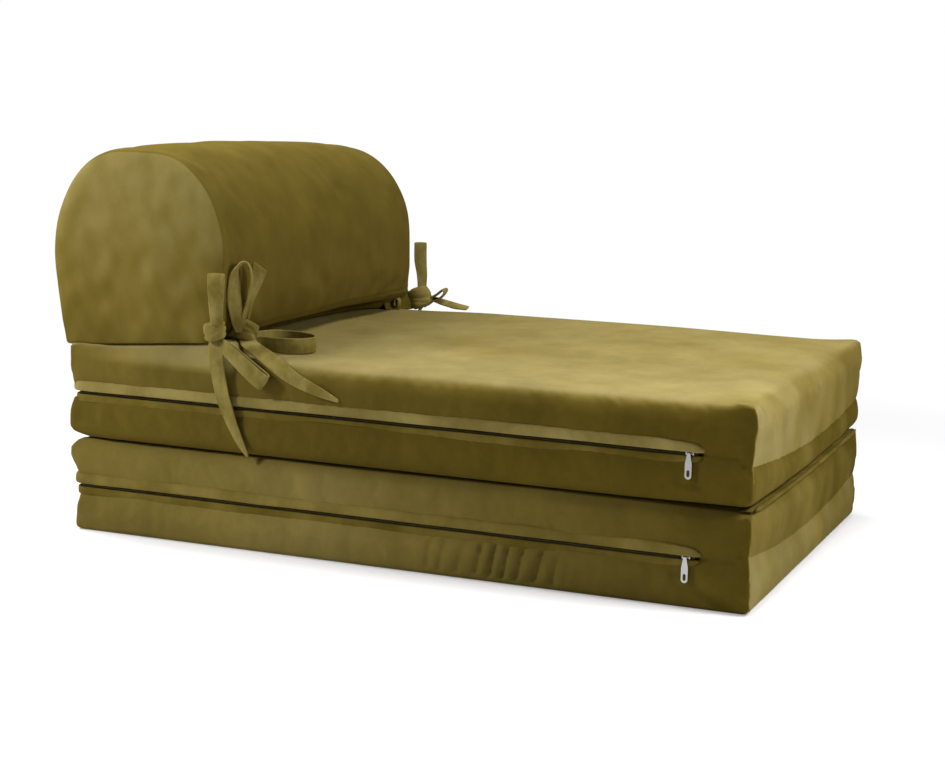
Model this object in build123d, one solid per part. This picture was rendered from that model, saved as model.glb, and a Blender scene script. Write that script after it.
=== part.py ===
from build123d import *
import math
import os

# Fold-out chair bed: two foam mattresses joined by a sewn hinge along their front
# edge, with a loose bolster tied on top of the back end.
# The mattresses are modelled centred on x = 0 and y = 0 and standing on z = 0, with
# the sewn hinge at the -Y end. Everything is moved by frame_shift when it is written,
# so that the box round the whole object is centred on the origin.

# Mattresses
mattress_length = 1000.0
mattress_width = 600.0
block_thickness = 135.0
block_gap = 0.3
cover_wall = 1.6
foam_clearance = 0.8
foam_relief = 1.4
side_bulge = 3.0
end_bulge = 4.0
seam_draw = 2.0
vertical_corner_radius = 10.0
seam_land = 9.0
top_edge_radius = 28.0
top_front_radius = 40.0
gap_edge_radius = 14.0
floor_edge_radius = 11.0
top_crown = 5.0

# Sections of a cushion's rounded edge: how far below its flat top, as shares of the radius
round_level_shares = (1.0, 0.5, 0.2)

# Crown of the top panel: how much of the plan is left at a share of the crown's height
crown_plan_shares = (1.0, 0.74, 0.42)
crown_rise_shares = (0.0, 0.72, 1.0)
crown_corner_shares = (0.12, 0.5, 0.9)

# Zip fasteners
coil_half_width = 3.1
coil_split = 1.0
coil_thickness = 2.4
coil_proud = 0.6
tape_reach = 8.0
tape_thickness = 0.8
tape_depth = 0.4
zip_front_setback = 66.0
zip_back_setback = 60.0
zip_stop_length = 3.0
zip_end_margin = 2.0
flap_height = 15.0
flap_thickness = 2.2
flap_hem = 3.5
flap_overrun = 4.0
low_flap_height = 9.4
low_flap_depth = 5.1

# Sliders and pulls
slider_length = 11.0
slider_half_width = 4.3
slider_waist = 3.7
slider_plate = 1.2
slider_base_plate = 1.0
slider_clearance = 0.3
post_width = 0.6
post_length = 2.5
bail_radius = 0.6
bail_height = 2.6
bail_foot = 1.2
bail_inset = 1.5
pull_ring_radius = 1.9
pull_ring_width = 2.4
pull_ring_clearance = 0.2
pull_length = 33.0
pull_width = 9.0
pull_neck_width = 4.0
pull_thickness = 1.2
pull_hole_length = 9.0
pull_hole_width = 4.0
pull_hole_margin = 3.0
pull_shoulder_share = 0.45
slider_shoulder_share = 0.55

# Sewn hinge
hinge_clearance = 1.0
bead_radius = 4.0
lip_thickness = 2.4
lip_depth = 20.0
hinge_end_setback = 8.0

# Bolster
bolster_length = 600.0
bolster_depth = 275.0
bolster_height = 279.0
bolster_far_drop = 24.0
bolster_back_tuck = 25.0
bolster_overhang = 32.0
bolster_seam_rise = 13.0
bolster_end_crown = 8.0
bolster_end_draw = 6.0
bolster_draw_power = 8
bolster_station_shares = (-1.0, -0.8, -0.4, 0.0, 0.4, 0.8, 1.0)
dome_reach_shares = (0.0, 0.7, 1.0)
dome_inset_shares = (0.0, 0.25, 0.7)
bolster_zip_half_length = 150.0
bolster_zip_relief = 2.5

# Ties
ribbon_width = 20.0
ribbon_thickness = 2.4
ribbon_standoff = 0.6
knot_length = 22.0
knot_height = 18.0
knot_depth = 14.0
knot_round = 5.0
knot_clearance = 0.6
knot_proud = 4.0
knot_rise = 34.0
knot_spacing = 63.0
strap_sink = 3.0
loop_root_radius = 2.6
tall_loop_height = 96.0
short_loop_height = 80.0
loop_half_width = 7.5
lying_loop_length = 92.0
lying_loop_half_width = 15.0
lying_loop_angle = 208.0
tail_height = 72.0
tail_lean = 50.0
tail_standoff = 3.6
low_tail_clearance = 2.0
low_tail_sweep = 40.0
folded_loop_sweep = 62.0
folded_loop_drop = 40.0
side_tail_start = 80.0
side_tail_sweep = 96.0
side_tail_drop = 46.0
far_tail_height = 80.0

# Shared helpers
overrun = 1.0
half_length = mattress_length / 2 - end_bulge
half_width = mattress_width / 2 - side_bulge
half_block = block_thickness / 2
lower_seam_z = half_block
upper_base_z = block_thickness + block_gap
upper_seam_z = upper_base_z + half_block
stack_height = upper_base_z + block_thickness
hinge_z = block_thickness + block_gap / 2
hinge_y = -mattress_length / 2 - hinge_clearance
flap_face = coil_proud + slider_clearance + slider_plate + bail_height + 2 * bail_radius
flap_inner = flap_face + slider_clearance
flap_outer = flap_inner + flap_thickness
bolster_radius = bolster_depth / 2
bolster_base_z = stack_height + block_gap
bolster_front = mattress_length / 2 + bolster_overhang - bolster_depth
bolster_centre = bolster_front + bolster_radius
bolster_back_foot = bolster_front + bolster_depth - bolster_back_tuck
front_reach = -hinge_y + bead_radius
back_reach = bolster_front + bolster_depth
dome_room = bolster_height - bolster_far_drop - bolster_radius - 2 * bolster_seam_rise
frame_shift = (front_reach - back_reach) / 2


def save(name, shape):
    """Write one sub-part, moved into the object's own frame."""
    export_step(Pos(0, frame_shift, 0) * shape, "parts/" + name + ".step")


def bowed_side(start, end, bow):
    """A side between two plan points, bowed sideways by the vector bow."""
    if Vector(*bow).length == 0:
        return Line(start, end)
    middle = (Vector(*start) + Vector(*end)) * 0.5 + Vector(*bow)
    return ThreePointArc(start, middle, end)


def plan_outline(across, front, back, corner, side_bow, end_bow, height):
    """Plan of a cushion at one height: four bowed sides between round corners."""
    inner_x = across - corner
    low_y = -front + corner
    high_y = back - corner
    edges = [
        bowed_side((-inner_x, -front), (inner_x, -front), (0, -end_bow)),
        CenterArc((inner_x, low_y), corner, 270, 90),
        bowed_side((across, low_y), (across, high_y), (side_bow, 0)),
        CenterArc((inner_x, high_y), corner, 0, 90),
        bowed_side((inner_x, back), (-inner_x, back), (0, end_bow)),
        CenterArc((-inner_x, high_y), corner, 90, 90),
        bowed_side((-across, high_y), (-across, low_y), (-side_bow, 0)),
        CenterArc((-inner_x, low_y), corner, 180, 90),
    ]
    return Pos(0, 0, height) * Face(Wire(edges))


def edge_inset(rise, height, radius):
    """How far a rounded edge has drawn in at a rise above the seam."""
    over = min(max(rise - (height - radius), 0), radius)
    return radius - math.sqrt(radius**2 - over**2)


def cushion_half(side_radius, front_radius, crown, skin, relief):
    """Half of a mattress form, from its mid-height seam at z = 0 upward.

    skin offsets every face inward, and relief draws the form in further at the seam.
    """
    height = half_block - skin - crown
    side_round = side_radius - skin
    front_round = front_radius - skin
    round_levels = [height - front_round * share for share in round_level_shares] + [height]
    wall_levels = [seam_land, (seam_land + round_levels[0]) / 2, round_levels[0]]

    def section(rise):
        wave = 0
        if seam_land < rise < height:
            wave = math.sin(math.pi * (rise - seam_land) / (height - seam_land))
        draw = (seam_draw + relief) * (1 - wave)
        side_inset = skin + draw + edge_inset(rise, height, side_round)
        front_inset = skin + draw + edge_inset(rise, height, front_round)
        corner = vertical_corner_radius - skin + edge_inset(rise, height, side_round) / 2
        return plan_outline(
            half_width - side_inset,
            half_length - front_inset,
            half_length - side_inset,
            corner,
            side_bulge * wave,
            end_bulge * wave,
            rise,
        )

    land = extrude(Pos(0, 0, -seam_land) * section(seam_land), seam_land)
    half = land + loft([section(level) for level in wall_levels])
    half += loft([section(level) for level in round_levels])
    if crown > 0:
        across = half_width - skin - seam_draw - relief - side_round
        front = half_length - skin - seam_draw - relief - front_round
        back = half_length - skin - seam_draw - relief - side_round
        domes = []
        for plan, lift, corner in zip(crown_plan_shares, crown_rise_shares, crown_corner_shares):
            plan_sizes = (across * plan, front * plan, back * plan, corner * across * plan)
            domes.append(plan_outline(*plan_sizes, 0, 0, height + lift * crown))
        half = half + loft(domes)
    return half


def block_form(top_radius, top_front, base_radius, crown, skin, relief, seam_z):
    """A whole mattress form: two halves back to back at the seam."""
    top = cushion_half(top_radius, top_front, crown, skin, relief)
    base = cushion_half(base_radius, base_radius, 0, skin, relief)
    return Pos(0, 0, seam_z) * (top + mirror(base, about=Plane.XY))


# Zip fasteners: every section is drawn with x pointing out of the cover and y up


def zip_band(plane, path, low_x, high_x, low_y, high_y):
    """A band of the given section swept along a zip's path."""
    across = high_x - low_x
    tall = high_y - low_y
    centre = Pos((low_x + high_x) / 2, (low_y + high_y) / 2)
    return sweep(plane * centre * Rectangle(across, tall), path=path)


def corner_run(seam_z, start_trim, end_trim):
    """The zip's path along the near side, round the back corner and along the back."""
    seam_x = -(half_width - seam_draw)
    seam_y = half_length - seam_draw
    radius = vertical_corner_radius
    start = (seam_x, -seam_y + zip_front_setback + start_trim, seam_z)
    side_end = (seam_x, seam_y - radius, seam_z)
    back_start = (seam_x + radius, seam_y, seam_z)
    end = (-seam_x - zip_back_setback - end_trim, seam_y, seam_z)
    bend = Pos(seam_x + radius, seam_y - radius, seam_z) * CenterArc((0, 0), radius, 90, 90)
    path = Wire([Line(start, side_end), bend.edge(), Line(back_start, end)])
    return Plane(origin=start, x_dir=(-1, 0, 0), z_dir=(0, 1, 0)), path


def straight_run(start_trim, end_trim):
    """The path of the bolster's zip along the foot of its back."""
    height = bolster_base_z + bolster_seam_rise
    start = (-bolster_zip_half_length + start_trim, bolster_back_foot, height)
    end = (bolster_zip_half_length - end_trim, bolster_back_foot, height)
    return Plane(origin=start, x_dir=(0, 1, 0), z_dir=(1, 0, 0)), Wire([Line(start, end)])


def zip_slot(run):
    """The slot that a zip leaves in its cover."""
    plane, path = run(0, 0)
    return zip_band(plane, path, -2 * cover_wall, low_flap_depth, -tape_reach, tape_reach)


def zip_tapes_and_coils(run):
    """The two tapes, the two coil rows and the stops that close both their ends."""
    plane, path = run(0, 0)
    tape_low = -tape_depth - tape_thickness
    high_tape = zip_band(plane, path, tape_low, -tape_depth, coil_half_width, tape_reach)
    low_tape = zip_band(plane, path, tape_low, -tape_depth, -tape_reach, -coil_half_width)
    inner = coil_proud - coil_thickness
    coil_trim = zip_end_margin + zip_stop_length
    plane, path = run(coil_trim, coil_trim)
    high_coil = zip_band(plane, path, inner, coil_proud, coil_split / 2, coil_half_width)
    low_coil = zip_band(plane, path, inner, coil_proud, -coil_half_width, -coil_split / 2)
    plane, path = run(zip_end_margin, zip_end_margin)
    ends = zip_band(plane, path, inner, coil_proud, -coil_half_width, coil_half_width)
    plane, path = run(coil_trim, coil_trim)
    middle = zip_band(plane, path, inner - overrun, coil_proud + overrun, -tape_reach, tape_reach)
    return high_tape, low_tape, high_coil, low_coil, ends - middle


def zip_flaps(run, form):
    """The hood above a zip and the welt below it, both sewn down onto the cover."""
    plane, path = run(-flap_overrun, -flap_overrun)
    lip = pull_ring_radius + slider_clearance
    hood = zip_band(plane, path, flap_inner, flap_outer, lip, flap_height)
    hem = zip_band(plane, path, -tape_depth, flap_outer, flap_height - flap_hem, flap_height)
    top = slider_half_width + slider_clearance
    welt = zip_band(plane, path, 0, low_flap_depth, -top - low_flap_height, -top)
    return hood + hem - form, welt - form


def zip_slider():
    """Slider in its own frame: x out of the cover, y up, z along the closed coil."""
    outline = Polygon(
        (-slider_half_width, 0),
        (slider_half_width, 0),
        (slider_half_width, slider_length * slider_shoulder_share),
        (slider_waist, slider_length),
        (-slider_waist, slider_length),
        (-slider_half_width, slider_length * slider_shoulder_share),
        align=None,
    )
    outline = fillet(outline.vertices(), post_width)
    face = Plane(origin=(0, 0, 0), x_dir=(0, 1, 0), z_dir=(1, 0, 0)) * outline
    inner = coil_proud - coil_thickness
    cap_low = coil_proud + slider_clearance
    cap = Pos(cap_low, 0, 0) * extrude(face, slider_plate)
    base_high = inner - slider_clearance
    base = Pos(base_high - slider_base_plate, 0, 0) * extrude(face, slider_base_plate)
    post_low = base_high - slider_base_plate / 2
    post_high = cap_low + slider_plate / 2
    post = Pos((post_low + post_high) / 2, 0, post_length / 2 + post_width)
    post = post * Box(post_high - post_low, post_width, post_length)
    rail_low = coil_half_width + slider_clearance
    rail_wide = slider_waist - rail_low
    rail_span = slider_length - 2 * post_width
    body = cap + base + post
    for side in (-1, 1):
        high_end = cap_low + slider_plate / 2
        low_end = -tape_depth + slider_clearance
        centre = ((high_end + low_end) / 2, side * (rail_low + rail_wide / 2), slider_length / 2)
        body += Pos(*centre) * Box(high_end - low_end, rail_wide, rail_span)
        high_end = -tape_depth - tape_thickness - slider_clearance
        low_end = base_high - slider_base_plate / 2
        centre = ((high_end + low_end) / 2, side * (rail_low + rail_wide / 2), slider_length / 2)
        body += Pos(*centre) * Box(high_end - low_end, rail_wide, rail_span)
    bail_x = flap_face - bail_radius
    bail_span = slider_length - 2 * bail_inset
    body += Pos(bail_x, 0, slider_length / 2) * Cylinder(bail_radius, bail_span)
    for end in (-1, 1):
        foot_z = slider_length / 2 + end * (bail_span - bail_foot) / 2
        foot_low = cap_low + slider_plate / 2
        foot = Box(bail_x - foot_low, 2 * bail_radius, bail_foot)
        body += Pos((foot_low + bail_x) / 2, 0, foot_z) * foot
    return body


def zip_pull():
    """Pull tab hanging on the slider's bail, in the slider's own frame."""
    bail_x = flap_face - bail_radius
    middle = slider_length / 2
    face_x = bail_x + pull_ring_radius - pull_thickness / 2
    drop = pull_length - pull_width / 2
    outline = Polygon(
        (pull_neck_width / 2, 0),
        (-pull_neck_width / 2, 0),
        (-pull_width / 2, -drop * pull_shoulder_share),
        (-pull_width / 2, -drop),
        (pull_width / 2, -drop),
        (pull_width / 2, -drop * pull_shoulder_share),
        align=None,
    )
    outline += Pos(0, -drop) * Circle(pull_width / 2)
    hole_y = -pull_length + pull_hole_margin + pull_hole_length / 2
    outline -= Pos(0, hole_y) * SlotOverall(pull_hole_length, pull_hole_width, rotation=90)
    plane = Plane(origin=(face_x - pull_thickness / 2, 0, middle), x_dir=(0, 0, -1), z_dir=(1, 0, 0))
    tab = extrude(plane * outline, pull_thickness)
    ring = Cylinder(pull_ring_radius, pull_ring_width)
    tab += Pos(bail_x, 0, middle) * ring
    hole = Cylinder(bail_radius + pull_ring_clearance, 2 * pull_ring_width + pull_neck_width)
    return tab - Pos(bail_x, 0, middle) * hole


def write_zip(name, run, form, station_plane):
    """Write one fastener's pieces: tapes, coils, stops, flaps, slider and pull."""
    high_tape, low_tape, high_coil, low_coil, stops = zip_tapes_and_coils(run)
    save(name + "_zip_tape_high", high_tape)
    save(name + "_zip_tape_low", low_tape)
    save(name + "_zip_coil_high", high_coil)
    save(name + "_zip_coil_low", low_coil)
    save(name + "_zip_stops", stops)
    if form is not None:
        hood, welt = zip_flaps(run, form)
        save(name + "_zip_flap_high", hood)
        save(name + "_zip_flap_low", welt)
    save(name + "_zip_slider", station_plane * zip_slider())
    save(name + "_zip_pull", station_plane * zip_pull())


# Mattress blocks


def write_block(name, seam_z, mirrored):
    """Foam, two cover halves and zip of one mattress; mirrored turns it over."""
    crown = 0 if mirrored else top_crown
    top_radius = gap_edge_radius if mirrored else top_edge_radius
    top_front = gap_edge_radius if mirrored else top_front_radius
    base_radius = floor_edge_radius if mirrored else gap_edge_radius
    sizes = (top_radius, top_front, base_radius, crown)
    outer = block_form(*sizes, 0, 0, seam_z)
    inner = block_form(*sizes, cover_wall, 0, seam_z)
    foam = block_form(*sizes, cover_wall + foam_clearance, foam_relief, seam_z)
    shell = outer - inner
    standing = (Align.CENTER, Align.CENTER, Align.MIN)
    half = Box(2 * mattress_width, 2 * mattress_length, block_thickness, align=standing)

    def run(start_trim, end_trim):
        return corner_run(seam_z, start_trim, end_trim)

    slot = zip_slot(run)
    top = shell & (Pos(0, 0, seam_z) * half)
    base = shell & (Pos(0, 0, seam_z - block_thickness) * half)
    save(name + "_foam", foam)
    save(name + "_cover_top", top - slot)
    save(name + "_cover_base", base - slot)
    plane, path = run(zip_end_margin + zip_stop_length + zip_end_margin, 0)
    write_zip(name, run, outer, plane)
    return outer


def write_hinge(upper_form, lower_form):
    """The sewn hinge: a rolled bead with one lip on each mattress."""
    span = 2 * (half_width - seam_draw - hinge_end_setback)
    axis = Pos(0, hinge_y, hinge_z) * Rotation(0, 90, 0)
    reach = (Align.CENTER, Align.MIN, Align.MIN)
    high_lip = Pos(0, hinge_y, upper_base_z) * Box(span, lip_depth, lip_thickness, align=reach)
    low_z = block_thickness - lip_thickness
    low_lip = Pos(0, hinge_y, low_z) * Box(span, lip_depth, lip_thickness, align=reach)
    bead = axis * Cylinder(bead_radius, span)
    room = axis * Cylinder(bead_radius + hinge_clearance, 2 * span)
    save("hinge_seam", bead + (high_lip - upper_form))
    save("hinge_lip_lower", low_lip - room - lower_form)


# Bolster


def bolster_outline(x, inset):
    """End view of the bolster: flat foot, upright front, round top, tucked back.

    The foam has slumped, so the round top sits lower towards the far end.
    """
    slump = bolster_far_drop * (x / bolster_length + 1 / 2)
    waist_z = bolster_base_z + bolster_height - slump - bolster_radius
    foot_z = bolster_base_z + inset
    front_y = bolster_front + inset
    foot_y = bolster_back_foot - inset
    back_y = bolster_front + bolster_depth - inset
    radius = bolster_radius - inset
    land_z = foot_z + 2 * bolster_seam_rise
    rise = waist_z - land_z
    tuck = back_y - foot_y
    bend = (tuck**2 + rise**2) / (2 * tuck)
    half_angle = math.atan2(rise, bend - tuck) / 2
    bend_y = back_y - bend + bend * math.cos(half_angle)
    bend_z = waist_z - bend * math.sin(half_angle)
    slope = radius * math.sqrt(0.5)
    top = (x, bolster_centre, waist_z + radius)
    edges = [
        Line((x, front_y, foot_z), (x, foot_y, foot_z)),
        Line((x, foot_y, foot_z), (x, foot_y, land_z)),
        ThreePointArc((x, foot_y, land_z), (x, bend_y, bend_z), (x, back_y, waist_z)),
        ThreePointArc(
            (x, back_y, waist_z),
            (x, bolster_centre + slope, waist_z + slope),
            top,
        ),
        ThreePointArc(
            top,
            (x, bolster_centre - slope, waist_z + slope),
            (x, front_y, waist_z),
        ),
        Line((x, front_y, waist_z), (x, front_y, foot_z)),
    ]
    return Face(Wire(edges))


def bolster_form(skin):
    """The bolster's form between its end seams, with a domed panel at each end."""
    reach = bolster_length / 2 - bolster_end_crown
    sections = []
    for share in bolster_station_shares:
        inset = skin + bolster_end_draw * abs(share) ** bolster_draw_power
        sections.append(bolster_outline(share * reach, inset))
    form = loft(sections)
    for end in (-1, 1):
        domes = []
        for out, narrow in zip(dome_reach_shares, dome_inset_shares):
            x = reach + out * (bolster_end_crown - skin)
            domes.append(bolster_outline(end * x, skin + bolster_end_draw + narrow * dome_room))
        form += loft(domes)
    return form


def write_bolster():
    """Foam, wrap, base and end panels of the bolster, with its zip at the back foot."""
    outer = bolster_form(0)
    shell = outer - bolster_form(cover_wall)
    reach = bolster_length / 2 - bolster_end_crown
    seam_z = bolster_base_z + bolster_seam_rise
    room = 2 * (bolster_depth + bolster_height)
    back_y = bolster_centre
    middle = Pos(0, back_y, seam_z) * Box(2 * reach, room, room)
    below = Pos(0, back_y, seam_z - room / 2) * Box(2 * bolster_length, room, room)
    slot = zip_slot(straight_run)
    sleeve = shell & middle
    plane, path = straight_run(-bolster_zip_relief, -bolster_zip_relief)
    groove = slider_half_width + slider_clearance
    relief = zip_band(plane, path, -cover_wall - bolster_zip_relief, 0, -groove, groove)
    save("bolster_foam", bolster_form(cover_wall + foam_clearance) - relief)
    save("bolster_cover_wrap", sleeve - below - slot)
    save("bolster_cover_base", (sleeve & below) - slot)
    caps = shell - middle
    for end, name in ((-1, "near"), (1, "far")):
        side = Pos(end * bolster_length, back_y, seam_z) * Box(2 * bolster_length, room, room)
        save("bolster_end_panel_" + name, caps & side)
    plane, path = straight_run(zip_end_margin + zip_stop_length + zip_end_margin, 0)
    write_zip("bolster", straight_run, None, plane)
    return outer


# Ties


def ribbon_path(points, width):
    """Outline of a flat ribbon that follows points in its own plane."""
    left = []
    right = []
    for index, point in enumerate(points):
        before = Vector(*points[max(index - 1, 0)])
        after = Vector(*points[min(index + 1, len(points) - 1)])
        along = (after - before).normalized()
        side = Vector(-along.Y, along.X) * (width / 2)
        left.append(Vector(*point) + side)
        right.append(Vector(*point) - side)
    return Face(Wire(Polyline(*left, *reversed(right), close=True)))


def ribbon_loop(height, loop_half):
    """Band of a ribbon folded into a loop, with its root at the origin, going up."""
    far = Pos(0, height - loop_half)
    near = Pos(0, ribbon_thickness)
    outer = make_hull((Circle(loop_root_radius) + far * Circle(loop_half)).edges())
    root = near * Circle(loop_root_radius - ribbon_thickness / 2)
    inner = make_hull((root + far * Circle(loop_half - ribbon_thickness)).edges())
    return outer - inner


def slab(face, plane, thickness):
    """A flat ribbon: a face laid in a plane and thickened along the plane's normal."""
    return extrude(plane * face, thickness, dir=plane.z_dir)


def knot(centre):
    """A soft knot with its centre at a point."""
    return Pos(*centre) * fillet(Box(knot_depth, knot_length, knot_height).edges(), knot_round)


# Where the bows sit: the outer knot at the bolster's front corner, the other further in
outer_knot_x = -(bolster_length / 2) + knot_depth / 2 - knot_proud
inner_knot_x = outer_knot_x + knot_spacing
knot_y = bolster_front - knot_length / 2 - knot_proud
knot_z = stack_height + knot_rise
strap_z = stack_height - strap_sink


def write_bolster_ties(bolster):
    """What is sewn to the bolster: its knots, the standing loops and the standing tails."""
    middle = (Align.CENTER, Align.MIN, Align.CENTER)
    strap = Box(knot_depth, bolster_end_draw + 3 * knot_proud, knot_height / 2, align=middle)
    outer_strap = Pos(outer_knot_x, bolster_front - 2 * knot_proud, knot_z) * strap
    inner_strap = Pos(inner_knot_x, bolster_front - 2 * knot_proud, knot_z) * strap
    outer_origin = (outer_knot_x, knot_y + ribbon_width / 2, knot_z)
    facing = Plane(origin=outer_origin, x_dir=(1, 0, 0), z_dir=(0, -1, 0))
    short_loop = slab(ribbon_loop(short_loop_height, loop_half_width), facing, ribbon_width)
    inner_origin = (inner_knot_x - ribbon_width / 2, knot_y, knot_z)
    across = Plane(origin=inner_origin, x_dir=(0, 1, 0), z_dir=(1, 0, 0))
    tall_loop = slab(ribbon_loop(tall_loop_height, loop_half_width), across, ribbon_width)
    tail_origin = (inner_knot_x, bolster_front - ribbon_standoff, knot_z)
    behind = Plane(origin=tail_origin, x_dir=(1, 0, 0), z_dir=(0, -1, 0))
    tail = slab(ribbon_path([(0, 0), (tail_lean, tail_height)], ribbon_width), behind, ribbon_thickness)
    near = knot((outer_knot_x, knot_y, knot_z)) + knot((inner_knot_x, knot_y, knot_z))
    near = near + short_loop + tall_loop + tail + outer_strap + inner_strap
    save("bolster_tie_near", near - bolster)
    standing = (Align.CENTER, Align.CENTER, Align.MIN)
    standing_tail = Box(ribbon_thickness, ribbon_width, far_tail_height, align=standing)
    far = knot((outer_knot_x, knot_y, knot_z)) + outer_strap
    far += Pos(outer_knot_x, knot_y, knot_z) * standing_tail
    save("bolster_tie_far", mirror(far - bolster, about=Plane.YZ))


def write_seat_ties(seat):
    """What is sewn to the mattress: the strap below the knots, the tails and the loops."""
    side_x = -(mattress_width / 2) - tail_standoff
    beside = Plane(origin=(side_x, knot_y, 0), x_dir=(0, -1, 0), z_dir=(-1, 0, 0))
    flat = Plane(origin=(0, 0, strap_z), x_dir=(1, 0, 0), z_dir=(0, 0, 1))
    knot_foot = knot_z - knot_height / 2 - knot_clearance
    strap_low = (side_x - ribbon_thickness, knot_y)
    strap = slab(ribbon_path([strap_low, (inner_knot_x, knot_y)], ribbon_width), flat, ribbon_thickness)
    standing = (Align.CENTER, Align.CENTER, Align.MIN)
    stub = Box(knot_depth / 2, ribbon_width / 2, knot_foot - strap_z, align=standing)
    stubs = [Pos(x, knot_y, strap_z) * stub for x in (outer_knot_x, inner_knot_x)]

    def hanging(route, thickness):
        return slab(ribbon_path(route, ribbon_width), beside, thickness)

    top = strap_z + ribbon_thickness
    drop = top - upper_base_z - low_tail_clearance
    low_bend = (low_tail_sweep / 3, top - drop / 2)
    low_tail = hanging([(0, top), low_bend, (low_tail_sweep, top - drop)], ribbon_thickness)
    fold_end = (folded_loop_sweep, top - folded_loop_drop)
    folded = hanging([(0, top - ribbon_width / 2), fold_end], 2 * ribbon_thickness)
    edge = (side_x + ribbon_width / 4, knot_y - side_tail_start)
    across_top = ribbon_path([(inner_knot_x, knot_y), edge], ribbon_width)
    over = slab(across_top, flat, ribbon_thickness)
    tail_root = (side_tail_start - ribbon_width / 2, top)
    tail_end = (side_tail_start + side_tail_sweep, top - side_tail_drop)
    side_tail = hanging([tail_root, tail_end], ribbon_thickness)
    lying = Plane(origin=(inner_knot_x, knot_y, strap_z), x_dir=(1, 0, 0), z_dir=(0, 0, 1))
    lying = lying * Rotation(0, 0, lying_loop_angle)
    loop = extrude(lying * ribbon_loop(lying_loop_length, lying_loop_half_width), ribbon_width)
    shared = strap + low_tail + folded + stubs[0]
    near = shared + over + side_tail + loop + stubs[1] - seat
    save("seat_tie_near", near)
    save("seat_tie_far", mirror(shared - seat, about=Plane.YZ))


if __name__ == "__main__":
    os.makedirs("parts", exist_ok=True)
    lower_form = write_block("lower", lower_seam_z, True)
    upper_form = write_block("upper", upper_seam_z, False)
    write_hinge(upper_form, lower_form)
    bolster = write_bolster()
    write_bolster_ties(bolster)
    write_seat_ties(upper_form)
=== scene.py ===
import math
from types import SimpleNamespace

import bpy
import numpy as np
from mathutils import Matrix, Vector


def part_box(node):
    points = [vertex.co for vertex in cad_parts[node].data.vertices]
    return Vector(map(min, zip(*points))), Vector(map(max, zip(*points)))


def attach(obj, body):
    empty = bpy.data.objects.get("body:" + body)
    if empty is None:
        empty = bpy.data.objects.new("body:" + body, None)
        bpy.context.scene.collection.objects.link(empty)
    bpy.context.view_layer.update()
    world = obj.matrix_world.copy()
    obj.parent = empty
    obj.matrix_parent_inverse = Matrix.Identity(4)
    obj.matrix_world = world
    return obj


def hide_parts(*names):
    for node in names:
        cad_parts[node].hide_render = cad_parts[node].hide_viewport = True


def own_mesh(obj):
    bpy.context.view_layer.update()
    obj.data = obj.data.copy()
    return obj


# Fold-out chair bed in olive velvet: two zipped mattresses joined by a sewn hinge along their
# front edge, and a round-topped bolster tied on the back end with ribbon bows.
# Everything is in metres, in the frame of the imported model: the near side is -X, the front
# with the sewn hinge is -Y, and the bolster stands on the +Y end.

scene = bpy.context.scene
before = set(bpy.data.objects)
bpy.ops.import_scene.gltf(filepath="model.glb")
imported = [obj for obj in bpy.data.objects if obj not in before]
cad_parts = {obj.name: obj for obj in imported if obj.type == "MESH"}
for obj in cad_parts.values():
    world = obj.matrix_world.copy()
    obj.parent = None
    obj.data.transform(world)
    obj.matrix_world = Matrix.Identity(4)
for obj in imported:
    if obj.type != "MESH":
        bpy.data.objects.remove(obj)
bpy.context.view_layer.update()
MM = 0.001
TINY = 1e-9
UP = Vector((0, 0, 1))
WHITE = (1, 1, 1, 1)
HINGE_INSET = 4 * MM
seat_low, seat_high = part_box("upper_cover_base")
middle_y = (seat_low.y + seat_high.y) / 2
hinge_low, hinge_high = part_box("hinge_seam")
hinge_axis = Vector((0, hinge_low.y + HINGE_INSET, (hinge_low.z + hinge_high.z) / 2))
foot_low, foot_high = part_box("bolster_cover_base")


def place(x, y, z):
    """A point given in millimetres from the middle of the mattress, on the floor."""
    return Vector((x * MM, y * MM + middle_y, z * MM))


# Curves and noise


def step_curve(value, low, high):
    """0 below low, 1 above high, smooth between them."""
    t = np.clip((value - low) / (high - low), 0, 1)
    return t * t * (3 - 2 * t)


def rise(value, edge, start, end):
    """0 until start, in millimetres past the edge, 1 from end on, smooth between them."""
    return step_curve(value, edge + start * MM, edge + end * MM)


def fall(value, edge, start, end):
    """1 until start, in millimetres past the edge, 0 from end on, smooth between them."""
    return 1 - rise(value, edge, start, end)


def hump(value, centre, width):
    """A bell of height 1 round a centre."""
    return np.exp(-(((value - centre) / width) ** 2))


def ripple(s, wavelength, seed, octaves=4):
    """Uneven waves along a line, about 1 high, the same on each run."""
    rng = np.random.default_rng(seed)
    total = 0
    for _ in range(octaves):
        length = wavelength * rng.uniform(0.55, 1.6)
        phase = rng.uniform(0, 2 * math.pi)
        total = total + np.sin(2 * math.pi * s / length + phase) / math.sqrt(octaves)
    return total


def patches(points, size, seed, count=24):
    """Uneven smooth patches in space, about 1 high, the same on each run."""
    rng = np.random.default_rng(seed)
    total = 0
    for _ in range(count):
        direction = rng.normal(size=3)
        direction /= np.linalg.norm(direction)
        length = size * rng.uniform(0.7, 1.8)
        phase = rng.uniform(0, 2 * math.pi)
        total = total + np.sin(points @ direction * 2 * math.pi / length + phase)
    return total * math.sqrt(2 / count)


def lengths_of(vectors):
    """The length of each row, as a column that is nowhere 0."""
    return np.maximum(np.linalg.norm(vectors, axis=1, keepdims=True), TINY)


def marks_along(points):
    """How far along its line each point lies."""
    return np.concatenate([[0], np.cumsum(np.linalg.norm(np.diff(points, axis=0), axis=1))])


def at_marks(wanted, marks, table):
    """Rows of a table of numbers, read between its marks."""
    return np.stack([np.interp(wanted, marks, column) for column in np.transpose(table)], 1)


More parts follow.
